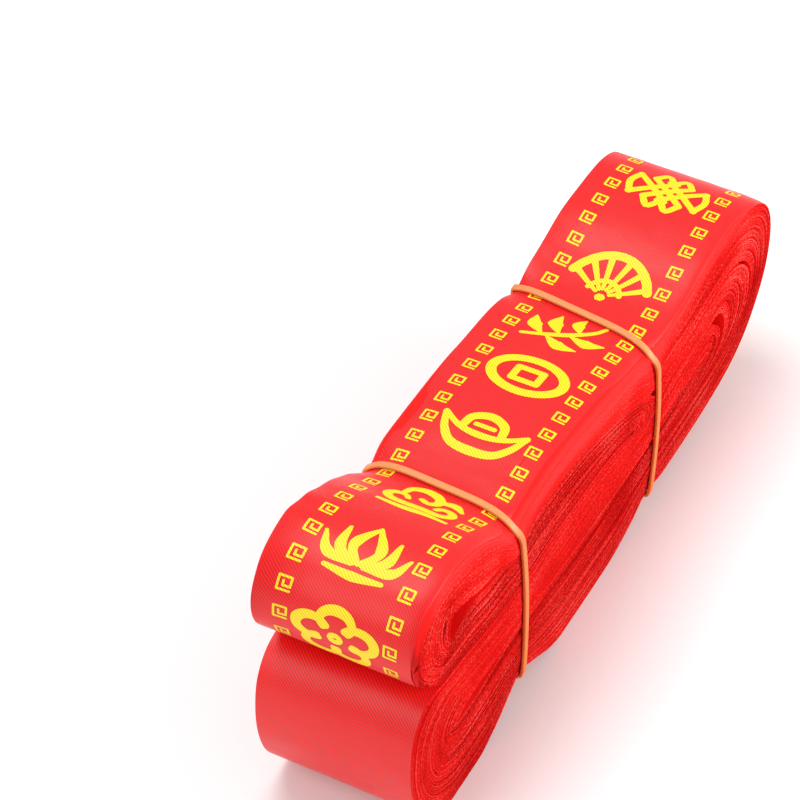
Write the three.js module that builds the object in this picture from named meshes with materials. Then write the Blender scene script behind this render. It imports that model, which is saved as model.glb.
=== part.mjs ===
// A roll of wide satin ribbon, wound flat and held by two rubber bands.
// Millimetres. X runs across the ribbon, Y along the roll towards the back turn, Z up.
// The origin is on the resting plane, under the middle of the roll.

import * as THREE from "three";

// Driving dimensions
const RIBBON_WIDTH = 50;
const HALF_WIDTH = RIBBON_WIDTH / 2;
const CREASE_WIDTH = 1.0;
const BAND_WIDTH = 2.2;
const BAND_THICKNESS = 1.1;
const BAND_EASE = 0.33;
const BAND_CLEARANCE = 0.3;

// How finely the curves are cut
const OUTLINE_STEP = 2.6;
const SLIT_STEP = 5;
const BAND_SHORTEST_STEP = 0.3;
const BAND_LONGEST_STEP = 5;
const CORNER_STEPS = 16;
const WAIST_SAMPLES = 40;

// Places across the width, as shares of half the width
const ACROSS = [-1, -0.9, -0.72, -0.36, 0, 0.36, 0.72, 0.9, 1];
const ACROSS_SLIT = [-1, 0, 1];

// The outline of the wound form seen from the side, from the crease's mouth over the upper lobe, along the
// top, round the back turn, along the bottom and round the lower lobe to the mouth again.
const UPPER_LOBE = [
  { y: -104.0, z: 57.8 },
  { y: -110.5, z: 62.6 },
  { y: -114.3, z: 69.0 },
  { y: -115.2, z: 76.0 },
  { y: -113.2, z: 83.5 },
  { y: -107.0, z: 89.4 },
  { y: -97.0, z: 92.0 },
  { y: -86.0, z: 91.0 },
  { y: -75.0, z: 87.0 },
  { y: -64.5, z: 80.8 },
];
const TOP = [
  { y: -55.0, z: 77.2 },
  { y: -44.0, z: 76.8 },
  { y: -30.0, z: 77.3 },
  { y: -13.5, z: 76.0 },
  { y: 3.5, z: 73.6 },
  { y: 20.5, z: 70.4 },
  { y: 34.0, z: 67.4 },
  { y: 46.0, z: 66.2 },
  { y: 58.0, z: 67.4 },
  { y: 71.0, z: 70.4 },
  { y: 85.0, z: 71.2 },
  { y: 97.0, z: 70.2 },
];
const BACK_TURN = [
  { y: 106.5, z: 66.5 },
  { y: 113.2, z: 60.3 },
  { y: 117.4, z: 51.4 },
  { y: 118.1, z: 41.0 },
  { y: 115.8, z: 31.0 },
  { y: 110.0, z: 21.8 },
  { y: 101.5, z: 14.2 },
  { y: 90.5, z: 9.0 },
];
const BOTTOM = [
  { y: 76.0, z: 6.6 },
  { y: 60.0, z: 5.7 },
  { y: 44.0, z: 5.6 },
  { y: 33.0, z: 5.2 },
  { y: 22.0, z: 3.4 },
  { y: 12.0, z: 0.9 },
  { y: 4.0, z: 0.0 },
  { y: -12.0, z: 0.0 },
  { y: -26.0, z: 0.0 },
  { y: -34.0, z: 2.2 },
  { y: -43.0, z: 6.6 },
  { y: -51.5, z: 8.6 },
  { y: -60.0, z: 7.4 },
  { y: -70.0, z: 2.8 },
  { y: -78.0, z: 0.0 },
  { y: -95.0, z: 0.0 },
];
const LOWER_LOBE = [
  { y: -105.5, z: 4.0 },
  { y: -112.6, z: 12.0 },
  { y: -117.2, z: 24.0 },
  { y: -118.2, z: 36.0 },
  { y: -116.0, z: 47.5 },
  { y: -111.0, z: 53.6 },
  { y: -104.8, z: 55.4 },
];

// The middle line of the crease between the lobes, from its mouth to its closed end
const CREASE = [
  { y: -98.0, z: 55.2 },
  { y: -86.0, z: 53.6 },
  { y: -73.0, z: 51.4 },
  { y: -58.0, z: 50.2 },
  { y: -38.0, z: 51.0 },
  { y: -12.0, z: 50.0 },
  { y: 6.0, z: 48.2 },
  { y: 19.0, z: 44.6 },
];

// Openings that run right across the width between the layers. Each is a middle line with its width.
const UPPER_GAP = [
  { y: -75.0, z: 69.0, width: 0.2 },
  { y: -81.0, z: 71.8, width: 1.5 },
  { y: -87.5, z: 74.2, width: 2.8 },
  { y: -91.5, z: 74.2, width: 3.0 },
  { y: -94.0, z: 71.0, width: 1.6 },
  { y: -95.0, z: 67.0, width: 0.2 },
];
const LOOSE_LAYER = [
  { y: 60.0, z: 49.6, width: 0.2 },
  { y: 72.0, z: 52.2, width: 0.7 },
  { y: 84.0, z: 53.9, width: 0.9 },
  { y: 92.5, z: 52.2, width: 1.1 },
  { y: 99.0, z: 46.8, width: 1.3 },
  { y: 102.6, z: 38.5, width: 1.4 },
  { y: 102.2, z: 30.0, width: 1.0 },
  { y: 99.5, z: 24.0, width: 0.2 },
];
const CORE_HOLE = [
  { y: 58.0, z: 38.2, width: 0.2 },
  { y: 66.0, z: 40.0, width: 0.8 },
  { y: 73.5, z: 42.0, width: 1.4 },
  { y: 78.0, z: 40.8, width: 3.6 },
  { y: 81.0, z: 37.6, width: 3.4 },
  { y: 82.8, z: 35.4, width: 1.2 },
];
const CORE_SLIT = [
  { y: 72.0, z: 31.2, width: 0.2 },
  { y: 62.0, z: 31.4, width: 1.2 },
  { y: 45.0, z: 29.6, width: 1.0 },
  { y: 20.0, z: 28.4, width: 1.2 },
  { y: -10.0, z: 28.2, width: 1.5 },
  { y: -35.0, z: 30.0, width: 1.2 },
  { y: -54.0, z: 31.0, width: 0.8 },
  { y: -66.0, z: 31.6, width: 2.0 },
  { y: -79.0, z: 31.8, width: 3.6 },
  { y: -88.0, z: 31.6, width: 3.0 },
  { y: -94.0, z: 31.0, width: 0.4 },
];

// How far the top face stands above its middle line at the left and the right edge of the ribbon, and how
// far the left edge of the upper lobe stands ahead of its middle.
const TOP_EDGES = [
  { y: -118, left: 1.0, right: -0.5, ahead: 3.2 },
  { y: -108, left: 3.4, right: -0.2, ahead: 2.8 },
  { y: -97, left: 3.6, right: 0.0, ahead: 0.6 },
  { y: -88, left: 1.4, right: -0.2, ahead: 0.0 },
  { y: -78, left: -0.4, right: -0.4, ahead: 0.0 },
  { y: -52, left: -0.8, right: -1.2, ahead: 0.0 },
  { y: -30, left: -2.0, right: -1.4, ahead: 0.0 },
  { y: 0, left: -0.6, right: -3.0, ahead: 0.0 },
  { y: 24, left: 1.0, right: -2.6, ahead: 0.0 },
  { y: 50, left: 2.0, right: 0.4, ahead: 0.0 },
  { y: 62, left: 2.6, right: 0.8, ahead: 0.0 },
  { y: 84, left: 1.2, right: 0.2, ahead: 0.0 },
  { y: 106, left: 0.4, right: -0.8, ahead: 0.0 },
  { y: 120, left: 0.0, right: 0.0, ahead: 0.0 },
];
const EDGE_CURVE_POWER = 3.4;

// The least width of an opening between the layers
const LEAST_OPENING = 0.2;

// The two rubber bands: where each crosses the top and the bottom, how far it runs askew there, how far its
// side runs bow towards the back, and how deep it draws in the edges of the top and of the bottom.
const BANDS = [
  { name: "band_front", y: -54.8, askew: 1.7, askewBelow: -1.5, bow: 2.6, top: 6.0, bottom: 2.6 },
  { name: "band_back", y: 35.2, askew: 3.4, askewBelow: 3.7, bow: 3.0, top: 4.2, bottom: 2.6 },
];
const WAIST_LENGTH = 6.5;
const WAIST_CURVE_POWER = 5;

// The share of half the width past which a band's own side bow begins
const SIDE_SHARE = 0.9;

// How deep the top's and the bottom's own shape reaches into the roll
const TOP_SOFT_DEPTH = 26;
const BOTTOM_SOFT_DEPTH = 16;

// The stretch along the roll between the steep ends, where its top and bottom are read
const READ_FROM = -114;
const READ_TO = 117;

// A smooth value at y from a table's column
function column(table, key, y) {
  const last = table.length - 1;
  if (y <= table[0].y) return table[0][key];
  if (y >= table[last].y) return table[last][key];
  const i = table.findIndex((row) => row.y > y) - 1;
  const share = (y - table[i].y) / (table[i + 1].y - table[i].y);
  const smooth = THREE.MathUtils.smoothstep(share, 0, 1);
  return THREE.MathUtils.lerp(table[i][key], table[i + 1][key], smooth);
}

// Points at even steps on a smooth curve through the rows
function smoothLine(rows, step) {
  const curve = new THREE.CatmullRomCurve3(
    rows.map((row) => new THREE.Vector3(row.y, row.z, row.width ?? 0)),
    false,
    "centripetal",
  );
  const count = Math.max(4, Math.round(curve.getLength() / step));
  return curve.getSpacedPoints(count);
}

// The two sides of a slot of the given width along a middle line, as one loop of points
function slotLoop(line, widthAt) {
  const left = [];
  const right = [];
  line.forEach((point, i) => {
    const ahead = line[Math.min(i + 1, line.length - 1)];
    const behind = line[Math.max(i - 1, 0)];
    const along = new THREE.Vector2(ahead.x - behind.x, ahead.y - behind.y).normalize();
    const half = widthAt(point, i) / 2;
    left.push(new THREE.Vector2(point.x - along.y * half, point.y + along.x * half));
    right.push(new THREE.Vector2(point.x + along.y * half, point.y - along.x * half));
  });
  return { left, right };
}

// The closed outline with the crease, as points (y, z) that run clockwise seen from +X
function outlineLoop() {
  const outer = smoothLine([...UPPER_LOBE, ...TOP, ...BACK_TURN, ...BOTTOM, ...LOWER_LOBE], OUTLINE_STEP);
  const crease = smoothLine(CREASE, SLIT_STEP);
  const { left, right } = slotLoop(crease, () => CREASE_WIDTH);
  const end = crease[crease.length - 1];
  const roundEnd = new THREE.Vector2(end.x + CREASE_WIDTH / 2, end.y);
  const points = outer.map((p) => new THREE.Vector2(p.x, Math.max(p.y, 0)));
  return [...points, ...right, roundEnd, ...left.reverse()];
}

// A slit between the layers as a closed loop of points (y, z)
function slitLoop(rows) {
  const line = smoothLine(rows, SLIT_STEP);
  const { left, right } = slotLoop(line, (point) => Math.max(point.z, LEAST_OPENING));
  return [...right, ...left.reverse()];
}

// Where a band lies along the roll, at a share of half the width and a share of the way down the side
function bandPlace(band, share, down) {
  return band.y - share * THREE.MathUtils.lerp(band.askew, band.askewBelow, down);
}

// How strongly a band draws the roll in at a place on the top (down 0) or the bottom (down 1)
function waist(band, share, down, y) {
  return Math.exp(-(((y - bandPlace(band, share, down)) / WAIST_LENGTH) ** 2));
}

// Heights of the top and the bottom of the wound form at y, from its outline
function heightsAt(outline, y) {
  const heights = [];
  outline.forEach((a, i) => {
    const b = outline[(i + 1) % outline.length];
    if ((a.x - y) * (b.x - y) <= 0 && a.x !== b.x) {
      heights.push(THREE.MathUtils.lerp(a.y, b.y, (y - a.x) / (b.x - a.x)));
    }
  });
  return heights.length ? { top: Math.max(...heights), bottom: Math.min(...heights) } : null;
}

// The place in the roll of a point of the plain wound form: the ribbon's edges stand a little above or
// below its middle, and the bands draw in the edges.
function settle(outline, share, y, z) {
  const span = heightsAt(outline, THREE.MathUtils.clamp(y, READ_FROM, READ_TO));
  const topShare = THREE.MathUtils.smoothstep(z, span.top - TOP_SOFT_DEPTH, span.top);
  const bottomShare = 1 - THREE.MathUtils.smoothstep(z, span.bottom, span.bottom + BOTTOM_SOFT_DEPTH);
  const curl = Math.abs(share) ** EDGE_CURVE_POWER * topShare;
  const ahead = share < 0 ? curl * column(TOP_EDGES, "ahead", y) : 0;
  let rise = curl * column(TOP_EDGES, share < 0 ? "left" : "right", y);
  for (const band of BANDS) {
    const top = band.top * topShare * waist(band, share, 0, y);
    const bottom = band.bottom * bottomShare * waist(band, share, 1, y);
    rise += Math.abs(share) ** WAIST_CURVE_POWER * (bottom - top);
  }
  return new THREE.Vector3(share * HALF_WIDTH, y - ahead, z + rise);
}

// A closed body between two side faces, from an outline and the openings through it
function woundBody(outline, slits) {
  const contour = THREE.ShapeUtils.isClockWise(outline) ? [...outline].reverse() : outline;
  const holes = slits.map((loop) => (THREE.ShapeUtils.isClockWise(loop) ? loop : [...loop].reverse()));
  const positions = [];
  const indices = [];
  const addPoint = (share, point) => {
    const placed = settle(outline, share, point.x, point.y);
    positions.push(placed.x, placed.y, placed.z);
    return positions.length / 3 - 1;
  };
  const leftFace = [];
  const rightFace = [];
  const addWall = (loop, across) => {
    const grid = across.map((share) => loop.map((point) => addPoint(share, point)));
    for (let j = 0; j < across.length - 1; j++) {
      for (let i = 0; i < loop.length; i++) {
        const next = (i + 1) % loop.length;
        const [a, b] = [grid[j][i], grid[j][next]];
        const [c, d] = [grid[j + 1][next], grid[j + 1][i]];
        indices.push(a, b, c, a, c, d);
      }
    }
    leftFace.push(...grid[0]);
    rightFace.push(...grid[across.length - 1]);
  };
  addWall(contour, ACROSS);
  holes.forEach((loop) => addWall(loop, ACROSS_SLIT));
  // Each side face is filled as its own outline runs there, drawn in at the waists
  const fillFace = (share, corners) => {
    const settled = (loop) => loop.map((point) => {
      const placed = settle(outline, share, point.x, point.y);
      return new THREE.Vector2(placed.y, placed.z);
    });
    for (const [a, b, c] of THREE.ShapeUtils.triangulateShape(settled(contour), holes.map(settled))) {
      indices.push(...(share > 0 ? [a, b, c] : [a, c, b]).map((k) => corners[k]));
    }
  };
  fillFace(1, rightFace);
  fillFace(-1, leftFace);
  const geometry = new THREE.BufferGeometry();
  geometry.setAttribute("position", new THREE.Float32BufferAttribute(positions, 3));
  geometry.setIndex(indices);
  return geometry;
}

// The convex loop round a set of flat points, anticlockwise
function hull(points) {
  const sorted = [...points].sort((a, b) => a.x - b.x || a.y - b.y);
  const turn = (o, a, b) => (a.x - o.x) * (b.y - o.y) - (a.y - o.y) * (b.x - o.x);
  const half = (list) => {
    const chain = [];
    for (const point of list) {
      while (chain.length > 1 && turn(chain[chain.length - 2], chain[chain.length - 1], point) <= 0) {
        chain.pop();
      }
      chain.push(point);
    }
    return chain.slice(0, -1);
  };
  return [...half(sorted), ...half(sorted.reverse())];
}

// A closed loop of flat points with its long edges cut into even steps
function inSteps(loop, longest) {
  return loop.flatMap((point, i) => {
    const next = loop[(i + 1) % loop.length];
    const count = Math.ceil(point.distanceTo(next) / longest);
    return Array.from({ length: count }, (_, k) => point.clone().lerp(next, k / count));
  });
}

// The taut loop of a band round the waist, at the middle of the band's thickness
function bandLoop(outline, band) {
  const section = [];
  for (let k = 0; k <= WAIST_SAMPLES; k++) {
    const share = (2 * k) / WAIST_SAMPLES - 1;
    for (const aside of [-BAND_WIDTH, 0, BAND_WIDTH]) {
      for (const down of [0, 1]) {
        const y = bandPlace(band, share, down) + aside;
        const { top, bottom } = heightsAt(outline, y);
        const placed = settle(outline, share, y, down ? bottom : top);
        section.push(new THREE.Vector2(placed.x, placed.z));
      }
    }
  }
  const standOff = (BAND_CLEARANCE + BAND_THICKNESS / 2) / Math.cos(Math.PI / CORNER_STEPS);
  const rounded = [];
  for (const point of hull(section)) {
    for (let k = 0; k < CORNER_STEPS; k++) {
      const angle = (k / CORNER_STEPS) * 2 * Math.PI;
      const corner = new THREE.Vector2(Math.cos(angle), Math.sin(angle)).multiplyScalar(standOff);
      rounded.push(corner.add(point));
    }
  }
  const ring = hull(rounded);
  const top = Math.max(...ring.map((point) => point.y));
  const bottom = Math.min(...ring.map((point) => point.y));
  const loop = [];
  for (const point of inSteps(ring, BAND_LONGEST_STEP)) {
    const share = THREE.MathUtils.clamp(point.x / HALF_WIDTH, -1, 1);
    const down = (top - point.y) / (top - bottom);
    const onSide = THREE.MathUtils.smoothstep(Math.abs(share), SIDE_SHARE, 1);
    const bow = band.bow * Math.sin(Math.PI * down) * onSide;
    const place = new THREE.Vector3(point.x, bandPlace(band, share, down) + bow, point.y);
    const last = loop[loop.length - 1];
    if (!last || place.distanceTo(last) > BAND_SHORTEST_STEP) loop.push(place);
  }
  return loop;
}

// The flat section of a band with eased corners: steps out of the roll and along it
function bandSection() {
  const out = BAND_THICKNESS / 2;
  const along = BAND_WIDTH / 2;
  const ease = BAND_EASE;
  return [
    [out, -along + ease],
    [out, along - ease],
    [out - ease, along],
    [-out + ease, along],
    [-out, along - ease],
    [-out, -along + ease],
    [-out + ease, -along],
    [out - ease, -along],
  ];
}

function bandBody(outline, band) {
  const loop = bandLoop(outline, band);
  const section = bandSection();
  const centre = new THREE.Box3().setFromPoints(loop).getCenter(new THREE.Vector3());
  const positions = [];
  const indices = [];
  loop.forEach((point, i) => {
    const ahead = loop[(i + 1) % loop.length];
    const behind = loop[(i - 1 + loop.length) % loop.length];
    const along = new THREE.Vector3().subVectors(ahead, behind).normalize();
    const sideways = new THREE.Vector3(0, 1, 0).addScaledVector(along, -along.y).normalize();
    const outwards = new THREE.Vector3().crossVectors(along, sideways);
    if (outwards.dot(new THREE.Vector3().subVectors(point, centre)) < 0) outwards.negate();
    for (const [out, aside] of section) {
      const corner = point.clone().addScaledVector(outwards, out).addScaledVector(sideways, aside);
      positions.push(corner.x, corner.y, corner.z);
    }
  });
  const sides = section.length;
  for (let i = 0; i < loop.length; i++) {
    const next = (i + 1) % loop.length;
    for (let j = 0; j < sides; j++) {
      const k = (j + 1) % sides;
      const [a, b] = [i * sides + j, i * sides + k];
      const [c, d] = [next * sides + k, next * sides + j];
      indices.push(a, b, c, a, c, d);
    }
  }
  const geometry = new THREE.BufferGeometry();
  geometry.setAttribute("position", new THREE.Float32BufferAttribute(positions, 3));
  geometry.setIndex(indices);
  return geometry;
}

function addPiece(group, name, geometry, material) {
  geometry.computeVertexNormals();
  const mesh = new THREE.Mesh(geometry, material);
  mesh.name = name;
  group.add(mesh);
}

const satin = new THREE.MeshStandardMaterial({ color: 0xe3141c, roughness: 0.45, metalness: 0 });
const rubber = new THREE.MeshStandardMaterial({ color: 0xd9965c, roughness: 0.6, metalness: 0 });

const outline = outlineLoop();
const slits = [UPPER_GAP, LOOSE_LAYER, CORE_HOLE, CORE_SLIT].map(slitLoop);
const roll = new THREE.Group();
addPiece(roll, "ribbon_roll", woundBody(outline, slits), satin);
for (const band of BANDS) {
  addPiece(roll, band.name, bandBody(outline, band), rubber);
}

export default roll;
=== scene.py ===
"""The wound roll of satin ribbon, its printed ornaments and its two rubber bands."""

import math

import bpy
import numpy as np
from mathutils import Matrix


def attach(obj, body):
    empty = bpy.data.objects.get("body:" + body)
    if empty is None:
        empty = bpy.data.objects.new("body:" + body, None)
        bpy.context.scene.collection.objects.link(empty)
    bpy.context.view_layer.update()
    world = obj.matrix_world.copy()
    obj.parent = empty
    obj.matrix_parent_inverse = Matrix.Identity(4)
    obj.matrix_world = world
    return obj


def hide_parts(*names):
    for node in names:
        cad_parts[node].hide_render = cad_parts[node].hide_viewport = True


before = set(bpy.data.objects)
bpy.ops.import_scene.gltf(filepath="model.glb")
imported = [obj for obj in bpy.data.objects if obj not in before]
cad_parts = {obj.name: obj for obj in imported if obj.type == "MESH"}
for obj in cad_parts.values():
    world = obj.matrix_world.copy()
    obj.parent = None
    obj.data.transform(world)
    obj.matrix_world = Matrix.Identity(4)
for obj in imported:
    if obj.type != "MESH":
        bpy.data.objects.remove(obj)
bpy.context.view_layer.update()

# Tables and sizes are in millimetres: x across the ribbon, y along the roll, z up.
CREASE_HALF = 0.5

# The section of the outer bundle of turns, all the way round. Columns: y, z on its outer face; y, z across
# from there on its inner face.
UPPER_LOBE = (
    (-104.0, 57.8, -94.6, 66.2),
    (-110.5, 62.6, -95.1, 67.2),
    (-114.3, 69.0, -95.4, 69.0),
    (-115.2, 76.0, -95.2, 71.4),
    (-113.2, 83.5, -94.5, 73.8),
    (-107.0, 89.4, -93.2, 75.4),
    (-97.0, 92.0, -90.8, 75.9),
    (-86.0, 91.0, -86.0, 74.9),
    (-75.0, 87.0, -78.8, 71.9),
    (-64.5, 80.8, -69.0, 69.8),
)
TOP = (
    (-55.0, 77.2, -57.5, 69.7),
    (-44.0, 76.8, -45.5, 70.7),
    (-30.0, 77.3, -30.5, 70.8),
    (-13.5, 76.0, -14.5, 69.2),
    (3.5, 73.6, 1.0, 65.3),
    (20.5, 70.4, 14.5, 59.2),
    (34.0, 67.4, 28.0, 54.0),
    (46.0, 66.2, 42.0, 51.5),
    (58.0, 67.4, 56.0, 50.6),
    (71.0, 70.4, 69.5, 52.6),
    (85.0, 71.2, 81.5, 54.6),
    (97.0, 70.2, 89.5, 53.8),
)
BACK_TURN = (
    (106.5, 66.5, 95.2, 51.2),
    (113.2, 60.3, 99.6, 47.2),
    (117.4, 51.4, 102.6, 42.0),
    (118.1, 41.0, 103.5, 36.6),
    (115.8, 31.0, 102.9, 31.0),
    (110.0, 21.8, 99.9, 26.2),
    (101.5, 14.2, 94.0, 23.1),
    (90.5, 9.0, 86.0, 20.8),
)
BOTTOM = (
    (76.0, 6.6, 74.0, 19.4),
    (60.0, 5.7, 59.0, 18.6),
    (44.0, 5.6, 44.0, 18.0),
    (33.0, 5.2, 33.5, 17.2),
    (22.0, 3.4, 23.0, 15.8),
    (12.0, 0.9, 13.0, 14.2),
    (4.0, 0.0, 4.5, 13.4),
    (-12.0, 0.0, -12.0, 13.2),
    (-26.0, 0.0, -26.5, 14.0),
    (-34.0, 2.2, -35.5, 15.4),
    (-43.0, 6.6, -44.5, 17.4),
    (-51.5, 8.6, -52.0, 18.4),
    (-60.0, 7.4, -59.0, 18.0),
    (-70.0, 2.8, -67.5, 15.8),
    (-78.0, 0.0, -76.0, 14.2),
    (-95.0, 0.0, -90.0, 14.0),
)
LOWER_LOBE = (
    (-105.5, 4.0, -98.5, 17.0),
    (-112.6, 12.0, -103.8, 20.6),
    (-117.2, 24.0, -107.0, 26.8),
    (-118.2, 36.0, -107.2, 33.4),
    (-116.0, 47.5, -104.6, 39.4),
    (-111.0, 53.6, -99.0, 43.0),
    (-104.8, 55.4, -93.5, 43.9),
)
# Columns: y, z on the middle line; y, z on the inner face below it; y, z on the inner face above it
CREASE = (
    (-98.0, 55.2, -88.0, 42.9, -92.0, 68.2),
    (-86.0, 53.6, -79.0, 41.0, -83.5, 70.9),
    (-73.0, 51.4, -68.0, 39.2, -73.0, 68.6),
    (-58.0, 50.2, -55.0, 38.4, -58.0, 69.2),
    (-38.0, 51.0, -37.0, 39.2, -37.0, 70.4),
    (-12.0, 50.0, -12.0, 39.2, -11.0, 68.2),
    (6.0, 48.2, 8.0, 38.4, 7.0, 62.4),
    (19.0, 44.6, 23.0, 37.9, 21.0, 55.9),
)
CREASE_END = (
    (19.35, 44.25, 31.0, 39.6),
    (19.5, 44.6, 34.4, 44.4),
    (19.35, 44.95, 30.5, 51.0),
)

# The bundles inside, with the same columns as the outer one
MIDDLE = (
    (-92.5, 43.5, -90.0, 38.8),
    (-84.0, 41.7, -83.0, 37.4),
    (-73.0, 39.8, -72.5, 36.0),
    (-58.0, 38.3, -58.0, 34.8),
    (-38.0, 38.9, -38.0, 34.6),
    (-12.0, 38.9, -12.0, 33.8),
    (8.0, 38.1, 8.0, 33.4),
    (22.0, 37.6, 22.0, 33.6),
    (31.0, 39.2, 31.0, 34.6),
    (34.9, 44.4, 38.0, 36.0),
    (37.2, 49.2, 46.0, 37.2),
    (47.0, 50.4, 54.0, 38.2),
    (56.0, 50.0, 60.5, 39.0),
    (69.0, 51.8, 67.5, 40.9),
    (81.5, 53.6, 74.5, 42.9),
    (89.0, 52.6, 79.0, 42.6),
    (94.5, 50.0, 82.0, 40.0),
    (98.6, 46.2, 83.5, 37.4),
    (101.2, 41.8, 84.0, 35.6),
    (102.1, 37.0, 84.2, 34.0),
    (101.8, 31.0, 83.9, 31.8),
    (99.3, 26.8, 82.6, 29.0),
    (93.6, 23.5, 79.6, 26.4),
    (86.0, 21.1, 74.5, 24.6),
    (74.0, 19.7, 66.0, 23.8),
    (44.0, 18.3, 43.0, 23.6),
    (23.0, 16.1, 23.0, 23.3),
    (4.5, 13.7, 4.5, 22.8),
    (-12.0, 13.5, -12.0, 22.8),
    (-26.5, 14.3, -26.5, 23.6),
    (-44.5, 17.7, -44.0, 25.6),
    (-52.0, 18.7, -52.0, 26.4),
    (-59.0, 18.3, -60.0, 26.8),
    (-67.5, 16.1, -69.0, 26.8),
    (-76.0, 14.5, -78.0, 26.4),
    (-90.0, 14.3, -88.0, 26.0),
    (-98.3, 17.3, -94.0, 26.6),
    (-103.5, 20.9, -97.4, 28.6),
    (-106.7, 27.0, -98.8, 31.0),
    (-106.9, 33.0, -98.6, 33.6),
    (-104.3, 39.2, -96.6, 36.6),
    (-98.8, 42.7, -93.6, 38.2),
)
CORE = (
    (-90.0, 38.5, -86.0, 33.1),
    (-83.0, 37.1, -80.0, 33.6),
    (-72.5, 35.7, -71.0, 33.0),
    (-58.0, 34.5, -58.0, 31.6),
    (-38.0, 34.3, -38.0, 30.5),
    (-12.0, 33.5, -12.0, 29.0),
    (8.0, 33.1, 8.0, 28.9),
    (22.0, 33.3, 22.0, 29.1),
    (38.0, 35.7, 38.0, 29.8),
    (54.0, 37.7, 53.0, 31.0),
    (60.5, 38.4, 59.0, 31.9),
    (67.5, 40.0, 65.0, 32.0),
    (73.5, 41.0, 69.5, 31.6),
    (77.2, 39.0, 71.5, 31.4),
    (79.6, 36.4, 72.2, 31.25),
    (81.4, 33.6, 72.4, 31.1),
    (81.2, 30.4, 71.8, 30.9),
    (78.4, 27.2, 69.5, 30.7),
    (73.6, 25.0, 66.5, 30.6),
    (65.6, 24.1, 61.0, 30.6),
    (43.0, 23.9, 42.5, 28.9),
    (23.0, 23.6, 23.0, 27.9),
    (4.5, 23.1, 4.5, 27.6),
    (-12.0, 23.1, -12.0, 27.4),
    (-26.5, 23.9, -26.5, 28.6),
    (-44.0, 25.9, -44.0, 30.0),
    (-60.0, 27.1, -60.0, 30.6),
    (-69.0, 27.1, -69.0, 30.4),
    (-78.0, 26.7, -77.0, 30.0),
    (-88.0, 26.3, -85.0, 30.0),
    (-94.0, 26.9, -89.5, 30.2),
    (-97.2, 28.9, -92.5, 30.7),
    (-98.5, 31.1, -93.9, 31.0),
    (-98.3, 33.4, -92.5, 31.6),
    (-96.3, 36.3, -89.5, 32.4),
    (-93.4, 37.9, -87.5, 32.9),
)


def outer_rungs():
    """The outer bundle's rows all the way round: top, back, bottom, then in and out along the crease"""
    below = [(y, z - CREASE_HALF, y_in, z_in) for y, z, y_in, z_in, _, _ in CREASE]
    above = [(y, z + CREASE_HALF, y_in, z_in) for y, z, _, _, y_in, z_in in reversed(CREASE)]
    return [*UPPER_LOBE, *TOP, *BACK_TURN, *BOTTOM, *LOWER_LOBE, *below, *CREASE_END, *above]


def smooth_loop(rows, counts):
    """Points on a closed centripetal Catmull-Rom curve, counts[i] of them from row i on"""
    out = []
    n = len(rows)
    for i in range(n):
        p0, p1, p2, p3 = (rows[(i + k - 1) % n] for k in range(4))
        d0, d1, d2 = (np.linalg.norm(b - a) ** 0.5 for a, b in ((p0, p1), (p1, p2), (p2, p3)))
        m1 = ((p1 - p0) / d0 - (p2 - p0) / (d0 + d1) + (p2 - p1) / d1) * d1
        m2 = ((p2 - p1) / d1 - (p3 - p1) / (d1 + d2) + (p3 - p2) / d2) * d1
        u = (np.arange(counts[i]) / counts[i])[:, None]
        squared = 3 * (p2 - p1) - 2 * m1 - m2
        cubed = 2 * (p1 - p2) + m1 + m2
        out.append(p1 + m1 * u + squared * u**2 + cubed * u**3)
    return np.vstack(out)


def section(rungs, step):
    """Matched points on the outer and the inner face of a bundle"""
    table = np.array(rungs, float)
    outer, inner = table[:, :2], table[:, 2:]
    spans = [np.linalg.norm(np.roll(side, -1, 0) - side, axis=1) for side in (outer, inner)]
    counts = np.maximum(1, np.ceil(np.maximum(*spans) / step)).astype(int)
    outer = smooth_loop(outer, counts)
    outer[:, 1] = np.maximum(outer[:, 1], 0)
    return outer, smooth_loop(inner, counts)


# Columns: y; how far the top stands above its middle at the left edge and at the right edge; how far
# the left edge stands ahead.
TOP_EDGES = np.array(
    (
        (-118, 1.0, -0.5, 3.2),
        (-108, 3.4, -0.2, 2.8),
        (-97, 3.6, 0.0, 0.6),
        (-88, 1.4, -0.2, 0.0),
        (-78, -0.4, -0.4, 0.0),
        (-52, -0.8, -1.2, 0.0),
        (-30, -2.0, -1.4, 0.0),
        (0, -0.6, -3.0, 0.0),
        (24, 1.0, -2.6, 0.0),
        (50, 2.0, 0.4, 0.0),
        (62, 2.6, 0.8, 0.0),
        (84, 1.2, 0.2, 0.0),
        (106, 0.4, -0.8, 0.0),
        (120, 0.0, 0.0, 0.0),
    )
)
LEFT, RIGHT, AHEAD = 1, 2, 3
MM = 0.001
HALF_WIDTH = 25.0
EDGE_CURVE_POWER = 3.4
WAIST_LENGTH = 6.5
WAIST_CURVE_POWER = 5
TOP_SOFT_DEPTH = 26.0
BOTTOM_SOFT_DEPTH = 16.0
READ_FROM, READ_TO = -114.0, 117.0
READ_STEP = 0.25
MIDDLE_SHARE = 0.7
SHOULDER_DROP = 1.8
SHOULDER_POWER = 10
SHOULDER_DEPTH = 8.0
LEFT_SHOULDER_SHARE = 0.15
BACK_SHOULDER_LOSS = 0.7
BACK_TURN_SPAN = (88, 106)

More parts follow.
